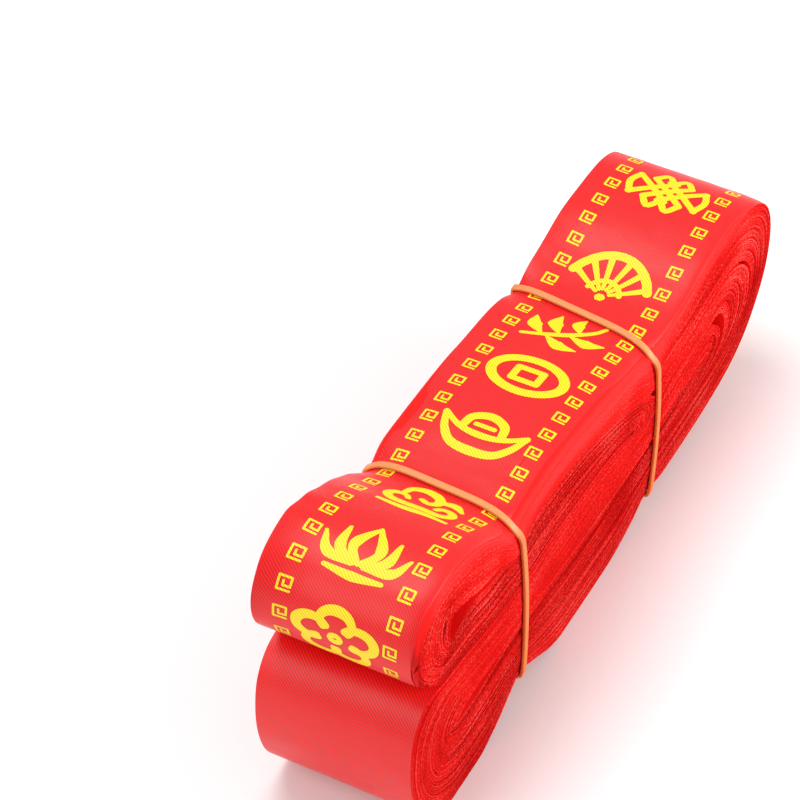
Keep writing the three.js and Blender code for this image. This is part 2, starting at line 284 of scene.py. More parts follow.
# y: its place. askew, below: how far its right end stands ahead of y on the top and underneath. bow: how
# far its sides bow back. top, bottom: how far it draws the edges down and up.
BANDS = (
    {"name": "band_front", "y": -54.8, "askew": 1.7, "below": -1.5, "bow": 2.6, "top": 6.0, "bottom": 2.6},
    {"name": "band_back", "y": 35.2, "askew": 3.4, "below": 3.7, "bow": 3.0, "top": 4.2, "bottom": 2.6},
)
BAND_WIDTH = 2.2
BAND_THICKNESS = 1.0
BAND_EASE = 0.36
BAND_EASE_POINTS = 5
BAND_CLEARANCE = 0.1
BAND_EDGE_INSET = 0.15
BAND_SAMPLES = 81
BAND_STEP = 0.9
BAND_TURN_STEP = math.pi / 20
SIDE_SHARE = 0.9
SIDE_DEPTHS = (0, 0.7, 1.5, 3, 5)

rng = np.random.default_rng(7)


def smoothstep(x, low, high):
    """0 up to low, then smoothly up to 1 at high"""
    t = np.clip((x - low) / (high - low), 0, 1)
    return t * t * (3 - 2 * t)


def between(x, rise, fall):
    """0, up to 1 over the span rise, and down to 0 again over the span fall"""
    return smoothstep(x, *rise) * (1 - smoothstep(x, *fall))


def column(key, y):
    """A smooth value at y from a column of TOP_EDGES"""
    rows = TOP_EDGES[:, 0]
    i = np.clip(np.searchsorted(rows, y, side="right") - 1, 0, len(rows) - 2)
    share = smoothstep(y, rows[i], rows[i + 1])
    return TOP_EDGES[i, key] + (TOP_EDGES[i + 1, key] - TOP_EDGES[i, key]) * share


def band_place(band, share, down):
    """Where a band lies along the roll, at a share of half the width and a share of the way down"""
    return band["y"] - share * (band["askew"] + (band["below"] - band["askew"]) * down)


def waist(band, share, down, y):
    """How strongly a band draws the roll in at y"""
    return np.exp(-(((y - band_place(band, share, down)) / WAIST_LENGTH) ** 2))


OUTLINE, _ = section(outer_rungs(), 1.0)
READ_Y = np.arange(READ_FROM - 4, READ_TO + 1, READ_STEP)


def heights(loop):
    """Top and bottom of a closed loop at each of READ_Y"""
    ahead = np.roll(loop, -1, 0)
    share = (READ_Y[:, None] - loop[None, :, 0]) / (ahead - loop)[None, :, 0]
    z = loop[None, :, 1] + (ahead - loop)[None, :, 1] * share
    on = (share >= 0) & (share <= 1)
    return np.where(on, z, -np.inf).max(1), np.where(on, z, np.inf).min(1)


TOP_Z, BOTTOM_Z = heights(OUTLINE)


def settle(share, y, z, inside=False):
    """Places of points of the plain wound form: edges stand above or below the middle, bands draw
    them in, and the top's edges are rounded off. Inner turns don't rise in their middle."""
    at = np.clip(y, READ_FROM, READ_TO)
    top = np.interp(at, READ_Y, TOP_Z)
    bottom = np.interp(at, READ_Y, BOTTOM_Z)
    top_share = smoothstep(z, top - TOP_SOFT_DEPTH, top)
    bottom_share = 1 - smoothstep(z, bottom, bottom + BOTTOM_SOFT_DEPTH)
    curl = np.abs(share) ** EDGE_CURVE_POWER * top_share
    ahead = np.where(share < 0, curl * column(AHEAD, y), 0)
    rise = curl * np.where(share < 0, column(LEFT, y), column(RIGHT, y))
    if inside:
        middle = np.abs(share) < MIDDLE_SHARE
        ahead = np.where(middle, 0, ahead)
        rise = np.where(middle, np.minimum(rise, 0), rise)
    drop = SHOULDER_DROP * smoothstep(z, top - SHOULDER_DEPTH, top)
    drop = drop * (1 - BACK_SHOULDER_LOSS * smoothstep(y, *BACK_TURN_SPAN))
    drop = drop * np.where(share < 0, LEFT_SHOULDER_SHARE, 1)
    for band in BANDS:
        pull = band["bottom"] * bottom_share * waist(band, share, 1, y)
        pull = pull - band["top"] * top_share * waist(band, share, 0, y)
        rise = rise + np.abs(share) ** WAIST_CURVE_POWER * pull
        drop = drop * (1 - waist(band, share, 0, y))
    rise = rise - np.abs(share) ** SHOULDER_POWER * drop
    x = np.broadcast_to(share * HALF_WIDTH, rise.shape)
    return np.stack([x, y - ahead, z + rise], -1)


# Materials. The UVs are the flat ribbon in metres: u across it, v along it.


def srgb(r, g, b):
    """A colour from its 0-255 values"""

    def linear(c):
        c /= 255
        return c / 12.92 if c <= 0.04045 else ((c + 0.055) / 1.055) ** 2.4

    return (linear(r), linear(g), linear(b), 1)


TWILL_PITCH = 0.0008
TWILL_SLANT = 49
RIB_DARK_AT, RIB_LIGHT_AT = 0.1, 0.6
SCALE_OF_WAVE = 2 * math.pi / 20
SATIN_RED = srgb(222, 12, 16)
SHEEN_TINT = (1, 0.5, 0.5, 1)
EDGE_RED = srgb(222, 30, 28)
EDGE_SHADES = (
    (0.38, srgb(160, 10, 16)),
    (0.46, srgb(212, 26, 24)),
    (0.54, srgb(230, 38, 34)),
    (0.62, srgb(250, 92, 86)),
)
LONG_STREAK = 0.045
SHORT_STREAK = 0.0011
STREAKS_APART = 50000
INK_YELLOW = srgb(250, 216, 24)
INK_DARK, INK_LIGHT = srgb(236, 190, 14), srgb(255, 228, 34)
RUBBER_AMBER = srgb(218, 142, 76)
# The band's colour on its top and the painted shade of its sides, then where across the roll, in metres,
# the painted shade begins and is full
RUBBER_TOP, RUBBER_SIDE_PAINTED_SHADE = srgb(222, 142, 82), srgb(220, 112, 36)
RUBBER_SHADE_FROM, RUBBER_SHADE_TO = 0.0235, 0.0255


def principled(name, colour, roughness, **values):
    """A material whose surface has one colour and roughness, until a texture takes the place of either"""
    material = bpy.data.materials.new(name)
    material.use_nodes = True
    shader = material.node_tree.nodes["Principled BSDF"]
    shader.inputs["Base Color"].default_value = colour
    shader.inputs["Roughness"].default_value = roughness
    for key, value in values.items():
        shader.inputs[key.replace("_", " ")].default_value = value
    return material, material.node_tree.nodes, material.node_tree.links, shader


def add_bump(nodes, links, shader, height, strength, distance, before=None):
    """Relief from a height, on top of the relief before"""
    bump = nodes.new("ShaderNodeBump")
    bump.inputs["Strength"].default_value = strength
    bump.inputs["Distance"].default_value = distance
    links.new(height, bump.inputs["Height"])
    if before:
        links.new(before.outputs["Normal"], bump.inputs["Normal"])
    links.new(bump.outputs["Normal"], shader.inputs["Normal"])
    return bump


def add_noise(nodes, links, vector, scale, detail=2, dimensions="3D"):
    """Soft uneven values round 0.5"""
    noise = nodes.new("ShaderNodeTexNoise")
    noise.noise_dimensions = dimensions
    noise.inputs["Scale"].default_value = scale
    noise.inputs["Detail"].default_value = detail
    links.new(vector, noise.inputs["Vector"])
    return noise


def colour_ramp(nodes, links, value, stops):
    """Colours along a value from 0 to 1"""
    ramp = nodes.new("ShaderNodeValToRGB")
    elements = ramp.color_ramp.elements
    while len(elements) < len(stops):
        elements.new(0.5)
    for element, (position, colour) in zip(elements, stops):
        element.position = position
        element.color = colour
    links.new(value, ramp.inputs["Fac"])
    return ramp.outputs["Color"]


def twill(nodes, links, place):
    """Fine slanting ribs across the ribbon"""
    turn = nodes.new("ShaderNodeMapping")
    turn.inputs["Rotation"].default_value = (0, 0, math.radians(-TWILL_SLANT))
    links.new(place.outputs["UV"], turn.inputs["Vector"])
    ribs = nodes.new("ShaderNodeTexWave")
    ribs.inputs["Scale"].default_value = SCALE_OF_WAVE / TWILL_PITCH
    ribs.inputs["Distortion"].default_value = 0.0
    links.new(turn.outputs["Vector"], ribs.inputs["Vector"])
    return ribs.outputs["Fac"]


def satin(name, roughness, specular, sheen, dark, light, relief):
    """Woven satin with fine slanting ribs, dark to light, and soft broad unevenness"""
    material, nodes, links, shader = principled(
        name,
        SATIN_RED,
        roughness,
        Specular_IOR_Level=specular,
        Sheen_Weight=sheen,
        Sheen_Roughness=0.4,
    )
    shader.inputs["Sheen Tint"].default_value = SHEEN_TINT
    place = nodes.new("ShaderNodeTexCoord")
    ribs = twill(nodes, links, place)
    colour = colour_ramp(nodes, links, ribs, ((RIB_DARK_AT, dark), (RIB_LIGHT_AT, light)))
    links.new(colour, shader.inputs["Base Color"])
    soft = add_noise(nodes, links, place.outputs["UV"], 55)
    broad = add_bump(nodes, links, shader, soft.outputs["Fac"], 0.35, 0.002)
    add_bump(nodes, links, shader, ribs, relief, 0.00008, broad)
    return material


def streaks(nodes, links, place, length):
    """Uneven values along each turn's edge, with no likeness between one turn and the next"""
    turn = nodes.new("ShaderNodeMapping")
    turn.inputs["Scale"].default_value = (STREAKS_APART, 1 / length, 1)
    links.new(place.outputs["UV"], turn.inputs["Vector"])
    return add_noise(nodes, links, turn.outputs["Vector"], 1, 1, "2D").outputs["Fac"]


def mixed(nodes, links, factor, first, second):
    """Two values mixed, the factor being the second one's share"""
    mix = nodes.new("ShaderNodeMix")
    mix.inputs["Factor"].default_value = factor
    links.new(first, mix.inputs["A"])
    links.new(second, mix.inputs["B"])
    return mix.outputs["Result"]


def satin_edge():
    """The woven edges of the turns: matt, each turn a little lighter or darker, speckled by the weft"""
    material, nodes, links, shader = principled("satin_edge", EDGE_RED, 0.7, Specular_IOR_Level=0.0)
    place = nodes.new("ShaderNodeTexCoord")
    long = streaks(nodes, links, place, LONG_STREAK)
    short = streaks(nodes, links, place, SHORT_STREAK)
    broad = add_noise(nodes, links, place.outputs["Object"], 45)
    fine = mixed(nodes, links, 0.55, long, short)
    value = mixed(nodes, links, 0.22, fine, broad.outputs["Fac"])
    colour = colour_ramp(nodes, links, value, EDGE_SHADES)
    links.new(colour, shader.inputs["Base Color"])
    add_bump(nodes, links, shader, short, 0.35, 0.0002)
    return material


def print_ink():
    """Yellow print that lets the ribs under it show"""
    material, nodes, links, shader = principled("print_yellow", INK_YELLOW, 0.45, Specular_IOR_Level=0.35)
    place = nodes.new("ShaderNodeTexCoord")
    ribs = twill(nodes, links, place)
    colour = colour_ramp(nodes, links, ribs, ((RIB_DARK_AT, INK_DARK), (RIB_LIGHT_AT, INK_LIGHT)))
    links.new(colour, shader.inputs["Base Color"])
    return material


def rubber():
    """Amber rubber with painted shade: darker and more orange where it runs down the sides"""
    material, nodes, links, shader = principled(
        "rubber", RUBBER_AMBER, 0.5, Subsurface_Weight=0.25, Subsurface_Scale=0.002
    )
    shader.inputs["Subsurface Radius"].default_value = (1, 0.5, 0.25)
    place = nodes.new("ShaderNodeTexCoord")
    apart = nodes.new("ShaderNodeSeparateXYZ")
    links.new(place.outputs["Object"], apart.inputs["Vector"])
    aside = nodes.new("ShaderNodeMath")
    aside.operation = "ABSOLUTE"
    links.new(apart.outputs["X"], aside.inputs[0])
    share = nodes.new("ShaderNodeMapRange")
    share.inputs["From Min"].default_value = RUBBER_SHADE_FROM
    share.inputs["From Max"].default_value = RUBBER_SHADE_TO
    links.new(aside.outputs["Value"], share.inputs["Value"])
    # Painted shade: the colour darkens from the top's towards the sides' with the distance across the roll
    colour = colour_ramp(nodes, links, share.outputs["Result"], ((0, RUBBER_TOP), (1, RUBBER_SIDE_PAINTED_SHADE)))
    links.new(colour, shader.inputs["Base Color"])
    grain = add_noise(nodes, links, place.outputs["Object"], 900)
    add_bump(nodes, links, shader, grain.outputs["Fac"], 0.25, 0.0002)
    return material


FACE = satin("satin_face", 0.44, 0.45, 0.1, srgb(202, 4, 10), srgb(242, 20, 20), 0.25)
MARGIN = satin("satin_margin", 0.6, 0.15, 0.0, srgb(244, 20, 18), srgb(250, 26, 22), 0.01)
EDGE = satin_edge()
PRINT = print_ink()
RUBBER = rubber()

# The ribbon's materials in the order of these numbers
RIBBON = (FACE, EDGE, MARGIN)
FACE_KIND, EDGE_KIND, MARGIN_KIND = 0, 1, 2


def make_mesh(name, points, quads, uv, kinds, materials, sharp=None):
    """A mesh object from points in mm, quads, a UV per quad corner and a material number per quad.
    Edges between two points of the same number in sharp, other than 0, are sharp."""
    mesh = bpy.data.meshes.new(name)
    mesh.vertices.add(len(points))
    mesh.vertices.foreach_set("co", (points * MM).astype(np.float32).ravel())
    mesh.loops.add(quads.size)
    mesh.loops.foreach_set("vertex_index", quads.astype(np.int32).ravel())
    mesh.polygons.add(len(quads))
    mesh.polygons.foreach_set("loop_start", np.arange(0, quads.size, 4, dtype=np.int32))
    for material in materials:
        mesh.materials.append(material)
    mesh.polygons.foreach_set("material_index", kinds.astype(np.int32))
    mesh.uv_layers.new(name="flat").uv.foreach_set("vector", (uv * MM).astype(np.float32).ravel())
    mesh.update(calc_edges=True)
    if sharp is not None:
        ends = np.empty(len(mesh.edges) * 2, np.int32)
        mesh.edges.foreach_get("vertices", ends)
        a, b = ends.reshape(-1, 2).T
        mask = (sharp[a] > 0) & (sharp[a] == sharp[b])
        mesh.attributes.new("sharp_edge", "BOOLEAN", "EDGE").data.foreach_set("value", mask)
    mesh.validate()
    obj = bpy.data.objects.new(name, mesh)
    bpy.context.scene.collection.objects.link(obj)
    return obj


def path_length(points):
    """Length along an open path, at each of its points"""
    return np.concatenate([[0], np.cumsum(np.linalg.norm(np.diff(points, axis=0), axis=1))])


def arc_length(loop):
    """Length round a closed loop, at each of its points and where it closes"""
    return path_length(np.vstack([loop, loop[:1]]))


class Strip:
    """Collects turns of ribbon that go into one mesh"""

    def __init__(self, name):
        self.name = name
        self.points, self.quads, self.uv, self.kinds, self.sharp = [], [], [], [], []
        self.count = 0
        self.length = 0.0

    def add_turn(self, rows, u, v, kinds, corners, closed, edge_u):
        """rows: points (along, across, 3). u, kinds and corners: per place across. closed: the last
        place across joins the first. edge_u: where an edge lies across the streaks."""
        along, across, _ = rows.shape
        index = np.arange(along * across).reshape(along, across) + self.count
        ahead = np.roll(index, -1, 0)
        j = np.arange(across if closed else across - 1)
        k = (j + 1) % across
        quads = np.stack([index[:, j], index[:, k], ahead[:, k], ahead[:, j]], -1)
        shape = (along, len(j))
        v0 = np.broadcast_to(v[:-1][:, None], shape)
        v1 = np.broadcast_to(v[1:][:, None], shape)
        on_edge = kinds[j] == EDGE_KIND
        ua = np.broadcast_to(np.where(on_edge, edge_u, u[j])[None, :], shape)
        ub = np.broadcast_to(np.where(on_edge, edge_u, u[k])[None, :], shape)
        uv = np.stack([np.stack(p, -1) for p in ((ua, v0), (ub, v0), (ub, v1), (ua, v1))], -2)
        self.points.append(rows.reshape(-1, 3))
        self.quads.append(quads.reshape(-1, 4))
        self.uv.append((uv + [0, self.length]).reshape(-1, 4, 2))
        self.kinds.append(np.broadcast_to(kinds[j][None, :], shape).ravel())
        self.sharp.append(np.tile(corners, along))
        self.count += along * across
        self.length += v[-1]

    def build(self):
        obj = make_mesh(
            self.name,
            np.vstack(self.points),
            np.vstack(self.quads),
            np.vstack(self.uv),
            np.concatenate(self.kinds),
            RIBBON,
            np.concatenate(self.sharp),
        )
        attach(obj, "root")
        return obj


def closed_kinds(n, kind):
    """Materials and corners of a turn that has its face, an edge, its back and an edge"""
    kinds = np.full(2 * n, kind)
    kinds[[n // 2 - 1, n + n // 2 - 1]] = FACE_KIND
    kinds[[n - 1, 2 * n - 1]] = EDGE_KIND
    corners = np.zeros(2 * n, int)
    corners[[0, n - 1, n, 2 * n - 1]] = (1, 2, 3, 4)
    return kinds, corners


def open_kinds(n):
    """Materials and corners of a turn that has an edge, its face and an edge"""
    kinds = np.full(n + 2, MARGIN_KIND)
    kinds[n // 2] = FACE_KIND
    kinds[[0, n]] = EDGE_KIND
    corners = np.zeros(n + 2, int)
    corners[[1, n]] = (1, 2)
    return kinds, corners


TURN_FILL = 0.86
GROOVE = 0.5
GROOVE_SPREAD = (0.5, 1.3)
TURNS_IN_A_GROUP = (3, 7)
NEW_GROUP_GAP = 0.3
GROUP_INSET = 0.22
PLAIN_INSET = 0.12
INSET_SPREAD = 0.08
INSET_WANDER = 0.04
WANDER_CYCLES = (2, 3, 5, 8, 13, 21)
LEAST_INSET, MOST_INSET = 0.05, 3.0
OUTERMOST_INSET = 0.3

# How far the outermost turn's edges stand back from the widest turns
STAND_BACK = 0.9
STAND_BACK_LESS_BEHIND = 0.65
STAND_BACK_MORE_AMID = 0.7
STAND_BACK_MORE_IN_FRONT = 1.1
CREASE_LOSS = 0.95
BELOW_LOSS = 0.7
LEFT_EDGE_SHARE = 0.35
EDGE_PULL_POWER = 12
SHINGLED_TURNS = 9.0
SHINGLED_DEPTH = 1.3

INNER_ACROSS = np.array((-1, -0.95, -0.85, -0.6, 0.6, 0.85, 0.95, 1))
TURN_STEP = 2.4
EDGE_U = 30.0
EDGE_U_STEP = 0.3


def turn_depths(count, first_gap):
    """Where each turn's outer and inner face lie between a bundle's outer face (0) and inner face (1)"""
    gaps = np.full(count, 1 - TURN_FILL)
    k = 0
    while k < count:
        k += int(rng.integers(*TURNS_IN_A_GROUP))
        if k < count:
            gaps[k] += GROOVE * rng.uniform(*GROOVE_SPREAD)
    gaps[0] = first_gap
    starts = np.concatenate([[0], np.cumsum(TURN_FILL + gaps)[:-1]])
    total = starts[-1] + TURN_FILL
    return starts / total, (starts + TURN_FILL) / total


def edge_wander(v):
    """A slow wander along a turn's edge, the same where the turn closes"""
    wave = np.zeros(len(v) - 1)
    for cycles in WANDER_CYCLES:
        phase = rng.uniform(0, 2 * math.pi)
        angle = 2 * math.pi * cycles * v[:-1] / v[-1] + phase
        wave += rng.normal() * np.sin(angle) / cycles**0.5
    return INSET_WANDER * wave


def stand_back(y, z, share):
    """How far the outermost turn's edges stand back, in mm: least in the crease, below and on the left"""
    crease = between(y, (-112, -100), (24, 32)) * smoothstep(z, 36, 42) * (1 - smoothstep(z, 56, 62))
    amid = between(y, (-66, -44), (26, 44))
    below = 1 - smoothstep(z, 10, 22)
    front = (1 - smoothstep(y, -112, -98)) * smoothstep(z, 56, 64)
    behind = smoothstep(y, *BACK_TURN_SPAN)
    amount = STAND_BACK - STAND_BACK_LESS_BEHIND * behind
    amount = amount + STAND_BACK_MORE_AMID * amid + STAND_BACK_MORE_IN_FRONT * front
    amount = amount * (1 - CREASE_LOSS * crease) * (1 - BELOW_LOSS * below)
    return amount * np.where(share < 0, LEFT_EDGE_SHARE, 1)


def drawn_in(share, amount):
    """How far a point moves across when the edge stands back by an amount"""
    return np.sign(share) * np.abs(share) ** EDGE_PULL_POWER * amount


def edge_inset(edge, k, group, near, v, recess, shingled):
    """How far one edge (-1 or 1) of turn k stands back from the ribbon's full width, along the turn"""
    y, z = near.T
    inset = PLAIN_INSET + group + rng.normal() * INSET_SPREAD + edge_wander(v)
    inset = inset + recess(y, z)
    if shingled:
        inset = inset + stand_back(y, z, edge) * math.exp(-k / SHINGLED_TURNS)
    return np.clip(inset, LEAST_INSET, MOST_INSET)


def bundle(name, rungs, count, pieces, first_gap, recess, outermost_apart=False):
    """The turns of one bundle, in so many pieces of ribbon. The outermost turn may be made apart, and
    then the edges of the turns under it are shingled."""
    outer, inner = section(rungs, TURN_STEP)
    starts, ends = turn_depths(count, first_gap)
    strips = [Strip(f"{name}_{i + 1}" if pieces > 1 else name) for i in range(pieces)]
    first = 1 if outermost_apart else 0
    wide = INNER_ACROSS * HALF_WIDTH
    for k in range(first, count):
        near = outer + (inner - outer) * starts[k]
        far = outer + (inner - outer) * ends[k]
        v = arc_length(near)
        if k == first or starts[k] - ends[k - 1] > NEW_GROUP_GAP / count:
            group = rng.uniform(0, GROUP_INSET)
        left, right = (edge_inset(edge, k, group, near, v, recess, outermost_apart) for edge in (-1, 1))
        last = k == count - 1
        back_across = INNER_ACROSS[::-1] if last else INNER_ACROSS[[-1, 0]]
        face = np.stack([settle(s, near[:, 0], near[:, 1], True) for s in INNER_ACROSS], 1)
        back = np.stack([settle(s, far[:, 0], far[:, 1], True) for s in back_across], 1)
        face[:, 0, 0] += left
        face[:, -1, 0] -= right
        back[:, 0, 0] -= right
        back[:, -1, 0] += left
        if last:
            rows = np.concatenate([face, back], 1)
            u = np.concatenate([wide, wide[::-1]])
            kinds, corners = closed_kinds(len(wide), MARGIN_KIND)
        else:
            rows = np.concatenate([back[:, -1:], face, back[:, :1]], 1)
            u = np.pad(wide, 1, mode="edge")
            kinds, corners = open_kinds(len(wide))
        which = min(pieces - 1, (k - first) * pieces // (count - first))
        strips[which].add_turn(rows, u, v, kinds, corners, last, EDGE_U + EDGE_U_STEP * k)
    for strip in strips:
        strip.build()


# The outermost turn, whose face carries the print
FACE_STEP = 1.2
FACE_HALF_ACROSS = (0, 0.15, 0.3, 0.44, 0.56, 0.66, 0.74, 0.81, 0.87, 0.92, 0.96, 0.985, 1)
FACE_ACROSS = np.array((*(-share for share in FACE_HALF_ACROSS[:0:-1]), *FACE_HALF_ACROSS))
FACE_THICKNESS = 0.26
FACE_UNDER = 0.1
DENSE, _ = section(outer_rungs(), 0.4)
DENSE_V = arc_length(DENSE)
DENSE_LOOP = np.vstack([DENSE, DENSE[:1]])
TANGENT = np.roll(DENSE, -1, 0) - np.roll(DENSE, 1, 0)
TANGENT /= np.linalg.norm(TANGENT, axis=1)[:, None]
TANGENT_LOOP = np.vstack([TANGENT, TANGENT[:1]])
FACE_LENGTH = DENSE_V[-1]


def ripple(share, v):
    """Small soft waves of the outermost face, in mm out of the roll"""
    wave = 0.05 * np.sin(v / 9.3 + 2.1 * share) * np.sin(2.6 * share + v / 31)
    return wave + 0.03 * np.sin(v / 4.7 - 3.3 * share + 1.2)


def face_points(share, v, depth=0.0):
    """Points on the outermost face at a share of half the width and a length along the ribbon"""
    v = np.mod(v, FACE_LENGTH)
    y = np.interp(v, DENSE_V, DENSE_LOOP[:, 0])
    z = np.interp(v, DENSE_V, DENSE_LOOP[:, 1])
    ty = np.interp(v, DENSE_V, TANGENT_LOOP[:, 0])
    tz = np.interp(v, DENSE_V, TANGENT_LOOP[:, 1])
    out = ripple(share, v) - FACE_UNDER - depth
    placed = settle(share, y - tz * out, z + ty * out)
    placed[..., 0] -= drawn_in(share, stand_back(y, z, share) + OUTERMOST_INSET)
    return placed


def outermost():
    """The outermost turn, a closed strip that lies where the solid's outer face is"""
    v = np.linspace(0, FACE_LENGTH, int(FACE_LENGTH / FACE_STEP) + 1)
    shares, lengths = np.meshgrid(FACE_ACROSS, v[:-1])
    face = face_points(shares, lengths)
    back = face_points(shares, lengths, FACE_THICKNESS)[:, ::-1]
    rows = np.concatenate([face, back], 1)
    u = np.concatenate([FACE_ACROSS, FACE_ACROSS[::-1]]) * HALF_WIDTH
    kinds, corners = closed_kinds(len(FACE_ACROSS), FACE_KIND)
    strip = Strip("ribbon_outer_turn")
    strip.add_turn(rows, u, v, kinds, corners, True, EDGE_U)
    obj = strip.build()
    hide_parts("ribbon_roll")


# The print. Its strokes lie a little over the face, each a little over the one before.
MARK_PITCH = 8.61
MARK_X = 16.4
MARK_ROWS = range(-3, 54)
MARK_WIDTHS = (0.68, 0.68)
ROW_ZERO = (-114.6, 77.4)
STROKE_STEP = 0.8
ARC_STEP = 12
CURVE_POINTS = 12
STROKE_SIDES = (-1, -0.34, 0.34, 1)
STROKE_END_STEPS = np.array((1.0, 0.92, 0.7, 0.38))
STROKE_END_WIDTHS = np.sqrt(1 - STROKE_END_STEPS**2)
STROKE_LEAST_WIDTH = 0.02
LIFT, LIFT_PER_STROKE, LIFT_ALONG = 0.055, 0.004, 0.003
STROKES_TILL_LOW = 5
ORNAMENT_SCALE = np.array((1.16, 1.1))
ORNAMENT_WIDTH_SCALE = 1.12


def length_at(y, z):
    """Length along the ribbon at the outline's point nearest to y, z"""
    return DENSE_V[np.argmin(np.hypot(DENSE[:, 0] - y, DENSE[:, 1] - z))]


def even(points):
    """Points along a path in even steps"""
    points = np.array(points, float)
    lengths = path_length(points)
    count = max(2, int(math.ceil(lengths[-1] / STROKE_STEP)) + 1)
    at = np.linspace(0, lengths[-1], count)
    return np.stack([np.interp(at, lengths, points[:, i]) for i in range(2)], 1)


def curve(*points):
    """A smooth curve through three or more points, in even steps"""
    rows = np.array(points, float)
    rows = np.vstack([2 * rows[0] - rows[1], rows, 2 * rows[-1] - rows[-2]])
    spread = []
    t = np.linspace(0, 1, CURVE_POINTS, endpoint=False)[:, None]
    for i in range(1, len(rows) - 2):
        p0, p1, p2, p3 = rows[i - 1 : i + 3]
        a = 2 * p1
        b = p2 - p0
        c = 2 * p0 - 5 * p1 + 4 * p2 - p3
        d = 3 * p1 - p0 - 3 * p2 + p3
        spread.append(0.5 * (a + b * t + c * t**2 + d * t**3))
    return even(np.vstack([*spread, rows[-2:-1]]))


def arc(cx, cy, rx, ry, start, end):
    """A part of an ellipse round cx, cy, in even steps"""
    angles = np.radians(np.linspace(start, end, max(6, int(abs(end - start) / ARC_STEP))))
    return even(np.stack([cx + rx * np.cos(angles), cy + ry * np.sin(angles)], 1))


class Print:
    """Collects strokes of ink that go into one mesh"""

    def __init__(self):
        self.points, self.quads, self.uv = [], [], []
        self.count = 0
        self.strokes = 0

    def stroke(self, centre, path, widths):
        """A strip along a path (u, v) round a centre, its width running through widths, with round ends"""
        n = len(path)
        width = np.interp(np.linspace(0, 1, n), np.linspace(0, 1, len(widths)), widths)
        along = np.gradient(path, axis=0)
        along /= np.maximum(np.linalg.norm(along, axis=1), 1e-9)[:, None]
        head = [path[0] - along[0] * width[0] / 2 * step for step in STROKE_END_STEPS]
        tail = [path[-1] + along[-1] * width[-1] / 2 * step for step in STROKE_END_STEPS[::-1]]
        head_width = width[0] * STROKE_END_WIDTHS + STROKE_LEAST_WIDTH
        tail_width = width[-1] * STROKE_END_WIDTHS[::-1] + STROKE_LEAST_WIDTH
        path = np.vstack([head, path, tail])
        width = np.concatenate([head_width, width, tail_width])
        along = np.vstack([[along[0]] * len(head), along, [along[-1]] * len(tail)])
        across = np.stack([along[:, 1], -along[:, 0]], 1)
        places = np.stack([path + across * (width * side / 2)[:, None] for side in STROKE_SIDES], 1)
        u = places[..., 0] + centre[0]
        v = places[..., 1] + centre[1]
        lift = LIFT + LIFT_PER_STROKE * (self.strokes % STROKES_TILL_LOW)
        lift = lift + np.linspace(0, LIFT_ALONG, len(path))[:, None]
        points = face_points(np.clip(u / HALF_WIDTH, -1, 1), v, -lift)
        index = np.arange(u.size).reshape(u.shape)
        quads = np.stack([index[:-1, :-1], index[:-1, 1:], index[1:, 1:], index[1:, :-1]], -1)
        quads = quads.reshape(-1, 4)
        self.points.append(points.reshape(-1, 3))
        self.quads.append(quads + self.count)
        self.uv.append(np.stack([u.ravel(), v.ravel()], -1)[quads])
        self.count += u.size
        self.strokes += 1


# The ornaments, in mm round their middle. Each draws strokes from a path and the widths along it.


def blossom(draw):
    for k in range(5):
        turn = 90 + 72 * k
        x = 6.3 * math.cos(math.radians(turn))
        y = 5.0 * math.sin(math.radians(turn))
        draw(arc(x, y, 4.2, 3.3, turn - 130, turn + 130), (2.0, 2.9, 2.0))
    draw(arc(0, 0, 1.3, 1.1, 0, 360), (1.7, 1.7))


def cloud(draw):
    curl = (-3.4, 0.4), (-4.6, 2.0), (-7.2, 1.6), (-8.2, -1.0), (-6.4, -3.6), (-3.0, -4.2)
    belly = (2.0, -3.9), (6.6, -4.2), (8.8, -2.0), (8.0, 0.9), (5.4, 1.2), (4.4, -0.6)
    crown = (-5.6, 3.6), (-4.8, 6.6), (-1.4, 8.0), (2.2, 6.6), (3.2, 3.6), (1.4, 1.6), (-0.6, 2.6)
    draw(curve(*curl, *belly), (1.6, 3.0, 3.0, 1.8))
    draw(curve(*crown), (1.6, 3.0, 1.8))
    draw(curve((4.4, 5.2), (7.0, 5.6), (9.4, 3.6)), (2.2, 2.8, 1.2))
    draw(curve((-8.0, -7.2), (-2.0, -7.6), (4.0, -7.0), (9.8, -7.6)), (1.4, 2.8, 1.2))


def sprig(draw):
    draw(curve((-9.8, -6.4), (-5.0, -4.0), (0.6, -0.6), (5.6, 4.2), (7.6, 8.0)), (1.2, 2.0, 1.2))
    draw(curve((-5.6, -3.6), (-8.6, -0.6), (-9.8, 3.6)), (0.8, 4.4, 0.6))
    draw(curve((-1.8, -1.2), (-4.2, 2.6), (-4.2, 7.0)), (0.8, 4.4, 0.6))
    draw(curve((2.6, 2.2), (1.0, 5.4), (1.8, 8.6)), (0.8, 3.8, 0.6))
    draw(curve((-3.8, -4.2), (0.6, -6.8), (5.2, -6.6)), (0.8, 4.2, 0.6))
    draw(curve((1.6, -1.0), (6.2, -2.0), (10.4, -0.4)), (0.8, 4.2, 0.6))


def knot(draw):
    width = (1.9, 1.9)
    half_strand = 4.3 * 1.2
    for middle in (-4.2, 0.0, 4.2):
        for reach in (half_strand, -half_strand):
            draw(even(((middle - reach, -4.6), (middle + reach, 4.6))), width)
    for side in (-1, 1):
        draw(curve((side * 9.2, 4.6), (side * 10.6, 0.0), (side * 9.2, -4.6)), width)
    bows = ((-5.0, 4.8), (-2.6, 8.0), (0.0, 5.2), (2.6, 8.0), (5.0, 4.8))
    for side in (1, -1):
        draw(curve(*((x, side * y) for x, y in bows)), width)


def coin(draw):
    draw(arc(0, 0, 9.6, 7.2, 0, 362), (2.8, 2.8))
    corners = ((-3.4, -2.6), (3.4, -2.6), (3.4, 2.6), (-3.4, 2.6))
    for a, b in zip(corners, corners[1:] + corners[:1]):
        draw(even((a, b)), (2.0, 2.0))


